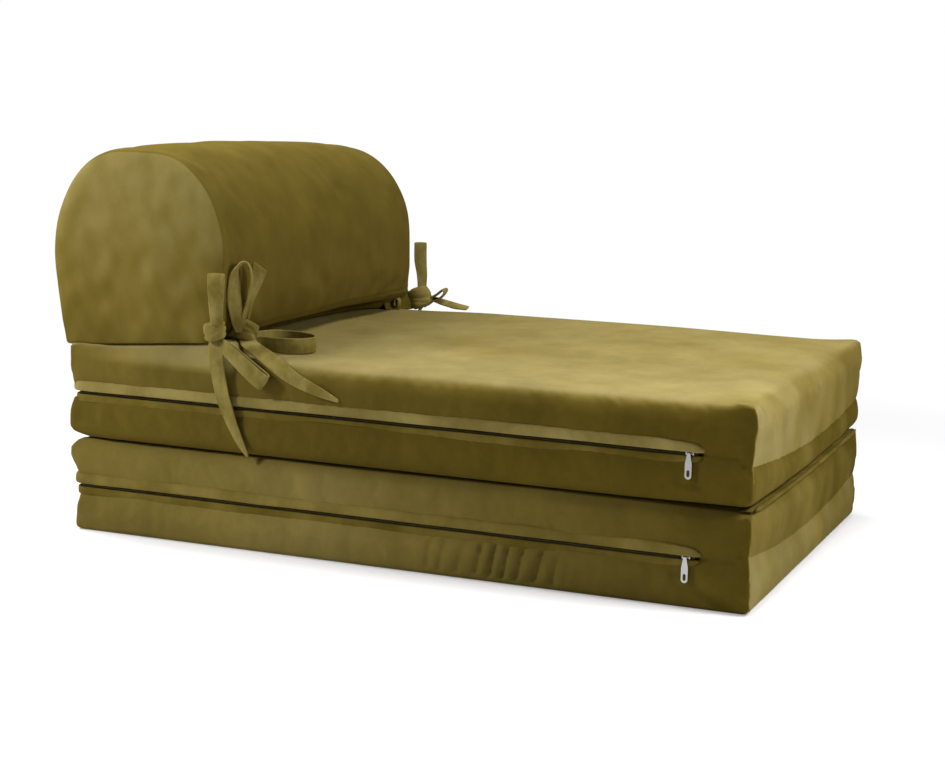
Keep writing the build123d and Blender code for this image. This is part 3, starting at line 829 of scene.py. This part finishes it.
def zip_strip(name, block, front, profile, waviness, seed, material):
    """A sewn strip along the zip, from its profile."""
    places = zip_line(block, front)
    s = marks_along(places[:, :2])
    swell = np.sqrt(np.clip(np.minimum(s, s[-1] - s) / (9 * MM), 0.02, 1))
    tall = 0.35 + 0.4 * rise(s, 0, 0, 12) + 0.25 * rise(s, 0, 8, 75)
    wave = ripple(s, 190 * MM, seed) * waviness
    flutter = ripple(s, 120 * MM, seed + 1) * waviness * 0.4
    outs, ups = np.array(profile).T * MM
    low_up = ups[np.argmin(np.abs(ups))]
    free_edge = ups != ups[0]
    outer_half = outs > np.median(outs)
    rings = []
    for k, (px, py, out_x, out_y) in enumerate(places):
        out = outs[0] + (outs - outs[0]) * swell[k] + flutter[k] * outer_half
        up = low_up + (ups - low_up) * tall[k] + wave[k] * free_edge
        rings.append([(px + out_x * o, py + out_y * o, block.seam_z + u) for o, u in zip(out, up)])
    return trim(name, rings, material)


for block in (upper, lower):
    strips = {
        # The hoods take lighter copies of the velvet, painted light; the welts the darker one, painted
        # shade.
        "hood": ("high", 13 * MM, HOOD, 0.3 * MM, 41, velvet_lip_painted_light if block is upper else velvet_fold_painted_light),
        "welt": ("low", 12 * MM, WELT, 0.2 * MM, 51, velvet_welt),
    }
    for kind, (level, lead, *looks) in strips.items():
        strip = zip_strip(block.name + "_" + kind, block, block.zip_front - lead, *looks)
        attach(strip, block.name + "_mattress")
        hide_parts(block.name + "_zip_flap_" + level)


# Sewn hinge

BEAD_POINTS = 14
STRIP_STATIONS = 117


def front_strip(name, body, node, half_span, ring_at):
    """A strip across the front, from the ring of points that it has at each place."""
    rings = []
    for x in np.linspace(-half_span, half_span, STRIP_STATIONS):
        dip = HINGE_DIP * (1 - (x / half_span) ** 2)
        end = min(1, (half_span - abs(x)) / (16 * MM) + 0.15)
        rings.append([(x, y, z - dip) for y, z in ring_at(x, end)])
    # The darker copy of the velvet: painted shade.
    obj = trim(name, rings, velvet_welt, levels=0)
    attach(obj, body)
    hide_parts(node)


def bead_ring(x, end):
    """The bead's round section, flat at the back where the lips run in."""
    radius = (3.1 + 0.2 * ripple(x, 70 * MM, 61)) * MM * end
    turns = np.radians(25 + 310 * np.arange(BEAD_POINTS) / (BEAD_POINTS - 1))
    return [(hinge_axis.y + radius * math.cos(t), hinge_axis.z + radius * math.sin(t)) for t in turns]


def lip_ring(x, end):
    """A thin fold that lies on the lower mattress, just behind the bead."""
    half = (lip_high.z - lip_low.z) / 2 * end
    blunt_y = lip_low.y + 1 * MM
    top_z = lip_low.z + 2 * half
    return [(lip_high.y, lip_low.z), (lip_high.y, top_z), (blunt_y, top_z),
            (lip_low.y, lip_low.z + half), (blunt_y, lip_low.z)]


lip_low, lip_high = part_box("hinge_lip_lower")
front_strip("hinge_bead", "upper_mattress", "hinge_seam", hinge_high.x, bead_ring)
front_strip("hinge_lip", "lower_mattress", "hinge_lip_lower", lip_high.x, lip_ring)


# Bolster

BASE_Z = foot_low.z
WRAP_LOW, WRAP_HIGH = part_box("bolster_cover_wrap")
PANEL_X = WRAP_HIGH.x
FRONT_Y = WRAP_LOW.y
BACK_Y = WRAP_HIGH.y
FOOT_BACK_Y = foot_high.y + 1 * MM
FRONT_SKEW = 17 * MM
BACK_SKEW = 7 * MM
RIDGE_RISE = 4 * MM
RIDGE_DROP = 25.5 * MM
WAIST_RISE = 129 * MM
WAIST_DROP = 15 * MM
HEM_RISE = 28 * MM
FRONT_RADIUS = 110 * MM
BACK_RADIUS = 112 * MM
END_DOME = 8.5 * MM
RECESS_SHARES = (0, 0.12, 0.35, 0.85, 1)
RECESSES = (7, 18, 52, 50, 9)
ARC_POINTS = 30
ARC_HALF = ARC_POINTS // 2
SIDES = {"foot": 18, "back": 22, "top": 18, "front": 22}


def ellipse(centre, radii, start, end):
    """Points of an elliptical arc in the end view, from one angle to the other."""
    turns = np.radians(np.linspace(start, end, ARC_POINTS))
    return [(centre[0] + radii[0] * math.cos(t), centre[1] + radii[1] * math.sin(t)) for t in turns]


def resample(line, count):
    """The same line in evenly spaced points, without its last one."""
    marks = marks_along(line)
    return at_marks(np.linspace(0, marks[-1], count + 1)[:-1], marks, line)


def bolster_outline(x):
    """End view at x, as its four sides: foot, tucked back, round top and upright front."""
    share = (x + PANEL_X) / (2 * PANEL_X)
    over_edge = max(0, abs(x) - upper.half_x + upper.top_radius)
    base = BASE_Z - 0.5 * (upper.top_radius - math.sqrt(upper.top_radius**2 - over_edge**2))
    base -= float(sunk(x, BACK_Y))
    top = WRAP_HIGH.z + RIDGE_RISE - RIDGE_DROP * share**1.9
    front_y = FRONT_Y - FRONT_SKEW * share
    back_y = BACK_Y - BACK_SKEW * share
    waist = BASE_Z + WAIST_RISE - WAIST_DROP * share
    recess = float(np.interp(share, RECESS_SHARES, RECESSES)) * MM
    hem_y = front_y + (13 - 11 * share**3) * MM
    hem_z = BASE_Z + HEM_RISE - 9 * MM * share**4 + 3 * MM * (1 - share) ** 8
    foot_back = FOOT_BACK_Y + 7 * MM * float(rise(abs(x), 0, 200, 285))
    raised = base + float(tied_up(x, hem_y + recess))
    under = hem_z - 0.45 * (hem_z - raised)
    front_radius = FRONT_RADIUS + 10 * MM * share
    arc_back = ellipse((back_y - BACK_RADIUS, waist), (BACK_RADIUS, top - waist), 0, 90)
    arc_front = ellipse((front_y + front_radius, waist), (front_radius, top - waist), 90, 180)
    return {
        "foot": [(hem_y, hem_z), (hem_y + 4 * MM, hem_z - 7 * MM), (hem_y + recess * 0.8, under),
                 (hem_y + recess, raised), (foot_back, base)],
        "back": [(foot_back, base), (FOOT_BACK_Y + 12 * MM, BASE_Z + 39 * MM),
                 (back_y - 6 * MM, BASE_Z + 74 * MM), (back_y - 1 * MM, waist - 18 * MM),
                 *arc_back[:ARC_HALF]],
        "top": arc_back[ARC_HALF - 1 :] + arc_front[: ARC_HALF + 1],
        "front": [*arc_front[ARC_HALF:], (front_y, hem_z + 45 * MM),
                  (front_y + 3 * MM, hem_z + 20 * MM), (hem_y, hem_z)],
    }


def bolster_ring(x):
    """One ring of the bolster: its outline at x, drawn in at the end panels' seams."""
    sides = bolster_outline(x)
    ring = np.vstack([resample(sides[name], SIDES[name]) for name in SIDES])
    after = np.roll(ring, -1, axis=0) - np.roll(ring, 1, axis=0)
    inward = np.stack([-after[:, 1], after[:, 0]], 1)
    draw = 1.6 * MM * hump(PANEL_X - abs(x), 0, 3 * MM)
    return [(x, y, z) for y, z in ring + inward / lengths_of(inward) * draw]


def domed_point(edge, i, j):
    """A point of an end panel, between those of its border and domed out."""
    wide, tall = SIDES["foot"], SIDES["back"]
    u = i / wide
    v = j / tall
    level = (1 - v) * edge[i, 0] + v * edge[i, tall]
    side = (1 - u) * edge[0, j] + u * edge[wide, j]
    corners = (1 - u) * (1 - v) * edge[0, 0] + u * (1 - v) * edge[wide, 0]
    corners = corners + (1 - u) * v * edge[0, tall] + u * v * edge[wide, tall]
    point = level + side - corners
    dome = (1 - (2 * u - 1) ** 6) * (1 - (2 * v - 1) ** 6)
    point[0] += math.copysign(END_DOME, point[0]) * dome
    return tuple(point)


def bolster_mesh():
    """The bolster as one closed grid: rings along it and a grid of cells on each end."""
    inner = np.linspace(-PANEL_X + 30 * MM, PANEL_X - 30 * MM, 29)
    ends = [PANEL_X - d * MM for d in (0, 2.5, 7, 13, 21)]
    rings = [bolster_ring(x) for x in sorted([-e for e in ends] + list(inner) + ends)]
    return closed_grid("bolster_cover", rings, SIDES["foot"], SIDES["back"], domed_point)


def shape_bolster(obj):
    """Soft dents and folds: upright ones on the front, and the hem's stitched line."""
    points = read_points(obj)
    x, y, z = points.T
    way = points - np.array([0, (FRONT_Y + BACK_Y) / 2, BASE_Z + 120 * MM])
    end = rise(np.abs(x), PANEL_X, -6, 1)
    way[:, 0] *= end
    way[:, 1:] *= (1 - end)[:, None]
    way /= lengths_of(way)
    lifted = rise(z, BASE_Z, 2, 40)
    front = rise(-y, -FRONT_Y, -40, -4)
    move = lifted * patches(points, 210 * MM, 71) * 1.1 * MM
    move += lifted * patches(points, 70 * MM, 72) * 0.35 * MM
    upright = np.sin(2 * math.pi * (x + 0.1 * z) / (46 * MM) + 1.3 * np.sin(2 * math.pi * x / (180 * MM)))
    zone = front * hump(z, BASE_Z + 62 * MM, 40 * MM) * hump(x, 20 * MM, 190 * MM)
    move += zone * upright * 0.9 * MM
    move -= front * hump(z, BASE_Z + HEM_RISE, 1.6 * MM) * 1.2 * MM
    points += way * move[:, None]
    write_points(obj, points)


def paint_bolster_light_and_tone(obj):
    """Paints light into the cover's colour: the wrap lighter up top and by the hem, the end panels towards
    their top.
    """
    points = read_points(obj)
    x, y, z = points.T
    patch = patches(points, 34 * MM, 73) * 0.04
    # Painted light: the wrap lighter high up and by the hem, the end panels lighter towards their top;
    # random patches.
    upper_side = step_curve(z, BASE_Z + 170 * MM, WRAP_HIGH.z)
    by_hem = hump(z, BASE_Z + 40 * MM, 60 * MM)
    height = (z - BASE_Z) / (WRAP_HIGH.z - BASE_Z)
    write_values(obj, "seam", PANEL_X - np.abs(x) - 0.3 * MM)
    write_values(obj, "tone_and_painted_light_above", 0.24 + 0.20 * upper_side + 0.14 * by_hem + patch * 0.6)
    write_values(obj, "tone_and_painted_light_below", 0.32 + 0.72 * np.clip(height, 0, 1.2) ** 1.3 + patch * 2.2)


bolster = bolster_mesh()
start = read_points(bolster)
rim = np.abs(np.abs(start[:, 0]) - PANEL_X)
pins = np.maximum(fall(rim, 0, 2, 30), fall(start[:, 2] - BASE_Z, 0, 20, 60))
loosen(bolster, pins, 2.5, 3 * MM)
subdivide(bolster, 2)
shape_bolster(bolster)
paint_bolster_light_and_tone(bolster)
bolster.data.materials.append(velvet_wrap)
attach(bolster, "bolster")
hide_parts("bolster_foam", "bolster_cover_wrap", "bolster_cover_base",
            "bolster_end_panel_near", "bolster_end_panel_far")


# Ribbons of the bows, in millimetres from the middle of the mattress

ACROSS = Vector((0.383, -0.924, 0))
TOWARDS = Vector((-0.909, -0.376, 0.18))
OUT = Vector((-1, 0, 0.05))
RIBBON_GAIN = 1.13
RIBBON_STEP = 2.2 * MM
LANES = np.array([-1, -0.86, -0.7, -0.35, 0, 0.35, 0.7, 0.86, 1])
PUFF = np.array([0.3, 0.8, 0.62, 1, 1.08, 1, 0.62, 0.8, 0.3])
KNOT_RINGS = 19
KNOT_POINTS = 30


def ribbon(name, route, widths, seed, sides=None, faces=None, nearer=0, thick=2.0, slant=0,
           material=velvet_trim_painted_light):
    """A sewn velvet ribbon along a route.

    Its width lies along sides, or square to faces and the route, either one direction or one
    for each point. nearer moves it towards the near front corner, and slant cuts its last end
    on the skew.
    """
    line, shares, marks = smooth_line([place(*(Vector(p) + TOWARDS * nearer)) for p in route], RIBBON_STEP)
    along = np.gradient(line, axis=0)
    along /= lengths_of(along)
    given = faces if sides is None else sides
    directions = given if isinstance(given, list) else [given] * len(route)
    across = at_marks(shares, marks, [tuple(v) for v in directions])
    if sides is None:
        across = np.cross(across, along)
    across -= along * np.sum(across * along, axis=1, keepdims=True)
    across /= lengths_of(across)
    upward = np.cross(along, across)
    wide = np.interp(shares, marks, np.array(widths, float) * RIBBON_GAIN * MM)
    length = float(marks_along(line)[-1])
    wobble = ripple(shares * length, 40 * MM, seed) * 0.25 * MM
    cup = ripple(shares * length, 70 * MM, seed + 3) * 0.5 * MM
    skin = (thick / 2 + (PUFF - 0.5) * thick * 0.9) * MM
    rings = []
    for k, point in enumerate(line):
        skew = along[k] * slant * MM * step_curve(shares[k], 0.8, 1.0)
        middle = cup[k] * (1 - LANES**2) + wobble[k] * np.cos(LANES * 3 + seed)
        flat = [point + (across[k] * wide[k] / 2 + skew) * lane for lane in LANES]
        top = [p + upward[k] * lift for p, lift in zip(flat, middle + skin)]
        low = [p + upward[k] * lift for p, lift in zip(flat, middle - skin)]
        rings.append(top + low[::-1])
    # The velvet is the lighter copy unless another is given: painted light.
    obj = trim(name, rings, material)
    return obj


def knot(name, centre, axis, across, radii, tall, nearer, seed):
    """A tied knot: a band wrapped round the ribbons' bundle, with slanting creases."""
    core = place(*(Vector(centre) + TOWARDS * nearer))
    axis = Vector(axis).normalized()
    across = (Vector(across) - axis * Vector(across).dot(axis)).normalized()
    depth = axis.cross(across)
    rings = []
    for v in np.linspace(-1, 1, KNOT_RINGS):
        bulge = (1 - abs(v) ** 5) ** 0.5 * 0.4 + 0.6 if abs(v) < 1 else 0.3
        ring = []
        for turn in np.linspace(0, 2 * math.pi, KNOT_POINTS, endpoint=False):
            crease = 0.06 * math.sin(2 * turn + 2 * v + seed)
            crease -= 0.13 * float(hump(v - 0.42 * math.sin(turn + seed), 0.1, 0.13))
            crease -= 0.10 * float(hump(v - 0.5 * math.sin(turn + 0.7 * seed), -0.55, 0.1))
            size = bulge * (1 + crease) * MM
            point = core + across * (math.cos(turn) * radii[0] * size)
            point += depth * (math.sin(turn) * radii[1] * size)
            point += axis * ((v + 0.10 * math.sin(turn + seed)) * tall / 2 * MM)
            ring.append(point)
        rings.append(ring)
    # The lighter copy of the velvet: painted light.
    return trim(name, rings, velvet_trim_painted_light)


def tie(body, node, pieces):
    """Lets the pieces ride on a body, the first of them in the place of a CAD tie."""
    for piece in pieces:
        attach(piece, body)
    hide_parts(node)


tie("bolster", "bolster_tie_near", [
    knot("knot_left", (-309, 262, 309), (0.05, 0.1, 1), ACROSS, (15, 9), 27, nearer=1, seed=1),
    knot("knot_right", (-243, 247, 300), (0.25, -0.2, 1), ACROSS, (16, 11), 31, nearer=10, seed=4),
    ribbon("loop_left", [(-306, 259, 316), (-311, 257.5, 345), (-312, 257.5, 372), (-308, 259, 384),
                         (-302, 262, 385), (-297, 264, 372), (-298, 264, 345), (-303, 261, 316)],
           [15, 18, 20, 21, 21, 20, 17, 14], seed=11, sides=ACROSS, nearer=11),
    ribbon("loop_right", [(-250, 252, 300), (-260, 252, 320), (-264, 255, 346), (-263, 255, 374),
                          (-259, 251.5, 392), (-253, 246, 398), (-248, 240, 392), (-247, 237, 372),
                          (-248, 242, 345), (-250, 249, 318)],
           [14, 18, 20, 20, 20, 20, 19, 18, 17, 14], seed=12, nearer=13,
           sides=[ACROSS - TOWARDS * 0.4, ACROSS - TOWARDS * 0.5, ACROSS - TOWARDS * 0.6,
                  ACROSS * 0.8 - TOWARDS, *[-TOWARDS] * 5, ACROSS * 0.4 - TOWARDS]),
    ribbon("tail_standing", [(-238, 250, 312), (-237, 245, 338), (-235, 239, 364), (-232, 233, 392)],
           [12, 15, 18, 20], seed=13, nearer=6, slant=-5,
           sides=[-TOWARDS, ACROSS * 0.2 - TOWARDS, (ACROSS - TOWARDS) * 0.6, ACROSS - TOWARDS * 0.3]),
])
tie("upper_mattress", "seat_tie_near", [
    ribbon("tail_hanging", [(-303, 262, 300), (-309, 261, 286), (-310, 257.5, 255), (-310, 251, 223),
                            (-309, 244.5, 202), (-308, 231.5, 171), (-306, 222, 151), (-304, 213.7, 136)],
           [16, 21, 20, 18.5, 17.5, 13, 9, 3], seed=21, faces=OUT, nearer=1),
    ribbon("loop_folded", [(-305, 252, 291), (-307, 236, 280), (-309, 205, 259), (-311, 186, 247),
                           (-315, 182, 244), (-318, 187, 247), (-316, 208, 261), (-312, 238, 282),
                           (-308, 254, 293)],
           [14, 19, 21, 22, 22, 22, 21, 18, 14], seed=22, sides=(0, -0.56, 0.83)),
    ribbon("tail_long", [(-250, 248, 293), (-264, 234, 287), (-288, 187.5, 271.5), (-302, 154, 257),
                         (-306, 128.7, 246.2), (-307, 100.4, 236.2), (-306, 74, 227)],
           [14, 19, 20, 18, 16, 12, 4], seed=23,
           faces=[(-0.5, -0.5, 0.7), (-0.6, -0.4, 0.7), (-0.7, -0.2, 0.6), (-1, 0, 0.3), OUT, OUT, OUT]),
    ribbon("loop_lying", [(-243, 252, 284), (-226, 234, 282), (-225, 205, 281), (-219, 180, 281),
                          (-202, 168, 281), (-183, 172, 281), (-168, 192, 281), (-160, 220, 281),
                          (-170, 245, 282), (-200, 256, 284), (-236, 257, 286)],
           [14, 18, *[20] * 7, 18, 14], seed=24, sides=UP),
])
tie("bolster", "bolster_tie_far", [
    knot("knot_far", (292, 222, 285), (0.1, 0.5, 0.8), (0, 1, 0), (19, 13), 36, nearer=0, seed=2),
    ribbon("tail_far", [(291, 219, 294), (292, 219.7, 321), (292, 222.7, 346), (292, 223, 375)],
           [12, 15, 18, 18], seed=31, sides=ACROSS),
    ribbon("loop_small_far", [(262, 246, 272), (262, 245, 281), (262, 249, 285), (262, 253, 281),
                              (262, 252, 272)], [10] * 5, seed=32, sides=(1, 0, 0), thick=1.4),
    # The strap takes the darker copy of the velvet: painted shade in its recess.
    ribbon("strap_far", [(250, 268, 277), (270, 258, 277), (286, 238, 280), (292, 222, 283)],
           [18, 24, 27, 22], seed=35, sides=(0.1, 0.35, 0.93), material=velvet_welt),
])
tie("upper_mattress", "seat_tie_far", [
    ribbon("loop_far", [(292, 216, 274), (293, 206, 284), (293, 194, 291), (292, 183, 299),
                        (291, 178, 300), (291, 178, 295), (292, 188, 285), (293, 204, 279),
                        (292, 215, 270)],
           [11, 12, 15, 17, 18, 17, 15, 12, 11], seed=33, sides=(1, 0.1, 0.1)),
    ribbon("tail_far_low", [(295, 232, 252), (295, 224, 264), (295, 214, 277), (296, 204, 283),
                            (298, 186, 279), (299, 163, 274), (299, 141, 271.5)],
           [16, 16, 14, 13, 17, 18, 12], seed=34, sides=(0.96, 0, 0.28)),
])


# Camera, at the photograph's angle

IMAGE_WIDTH = 945
FOCAL_PX = 2094.19
YAW = math.radians(67.478)
PITCH = math.radians(-10.339)
ROLL = math.radians(1.025)
CAMERA_SPOT = place(-2793.08, -1151.66, 758.83)
SENSOR_WIDTH = 36
CAMERA_REACH = 60

camera_data = bpy.data.cameras.new("camera")
camera_data.sensor_width = SENSOR_WIDTH
camera_data.lens = FOCAL_PX * SENSOR_WIDTH / IMAGE_WIDTH
camera_data.clip_end = CAMERA_REACH
camera = bpy.data.objects.new("camera", camera_data)
scene.collection.objects.link(camera)
level = math.cos(PITCH)
ahead = Vector((math.sin(YAW) * level, math.cos(YAW) * level, math.sin(PITCH)))
level_right = ahead.cross(UP).normalized()
level_up = level_right.cross(ahead)
right = math.cos(ROLL) * level_right + math.sin(ROLL) * level_up
above = -math.sin(ROLL) * level_right + math.cos(ROLL) * level_up
turn = Matrix((right, above, -ahead)).transposed()
camera.matrix_world = Matrix.Translation(CAMERA_SPOT) @ turn.to_4x4()
scene.camera = camera


# Floor, lights and background

FLOOR_REACH = 9
PAPER_LOOKS = {"Base Color": (0.82, 0.82, 0.83, 1), "Roughness": 0.95, "Specular IOR Level": 0.1}
PAPER_LIFT = 0.28
SHADOW_REACH = (0.75, 1.35)
WORLD_STRENGTH = 0.12
LIGHTS = (
    ("back_left", (-0.95, 1, 0.95), (-0.25, 0.3, 0.25), 0.22, 11),
    ("back_high", (0.2, 1.6, 2), (0, 0.2, 0.3), 1.2, 34),
    ("overhead", (0, -0.4, 1.9), (0, -0.3, 0.25), 0.6, 17),
    ("front", (-0.25, -1.15, 0.85), (-0.15, -0.5, 0.15), 0.35, 8.5),
)


def floor_paper():
    """White paper: it keeps the soft shadow near the bed and is plain white further off."""
    made = Finish("floor_paper")
    made.feed(made.shader, PAPER_LOOKS)
    paper = made.shader.outputs[0]
    lift = made.add("Emission", {"Color": WHITE, "Strength": PAPER_LIFT})
    lit = made.add("AddShader", {0: paper, 1: lift})
    reach = made.add("VectorMath", {0: made.place}, "Value", operation="LENGTH")
    far = made.remap(reach, *SHADOW_REACH, 0, 1)
    shown = made.add("MixShader", {0: far, 1: lit, 2: made.add("Emission", {"Color": WHITE})})
    surface = made.add("MixShader", {0: made.seen(), 1: paper, 2: shown})
    made.feed(made.tree.nodes["Material Output"], {"Surface": surface})
    return made.material


def studio_world():
    """A dim world that shows plain white behind the bed."""
    world = bpy.data.worlds.new("studio")
    made = Nodes(world)
    dim = made.tree.nodes["Background"]
    made.feed(dim, {"Color": WHITE, "Strength": WORLD_STRENGTH})
    white = made.add("Background", {"Color": WHITE, "Strength": 1.0})
    surface = made.add("MixShader", {0: made.seen(), 1: dim.outputs[0], 2: white})
    made.feed(made.tree.nodes["World Output"], {"Surface": surface})
    return world


def area_light(name, spot, target, size, power):
    """A soft studio panel aimed at a point."""
    data = bpy.data.lights.new(name, "AREA")
    data.shape = "SQUARE"
    data.size = size
    data.energy = power
    lamp = bpy.data.objects.new(name, data)
    scene.collection.objects.link(lamp)
    lamp.location = spot
    lamp.rotation_mode = "QUATERNION"
    lamp.rotation_quaternion = (Vector(target) - Vector(spot)).to_track_quat("-Z", "Y")


corners = [(-FLOOR_REACH, -FLOOR_REACH, 0), (FLOOR_REACH, -FLOOR_REACH, 0),
           (FLOOR_REACH, FLOOR_REACH, 0), (-FLOOR_REACH, FLOOR_REACH, 0)]
floor = make_mesh("floor", corners, [(0, 1, 2, 3)])
floor.data.materials.append(floor_paper())
for name, spot, target, size, power in LIGHTS:
    area_light(name, spot, target, size, power)
scene.world = studio_world()
scene.view_settings.view_transform = "Standard"
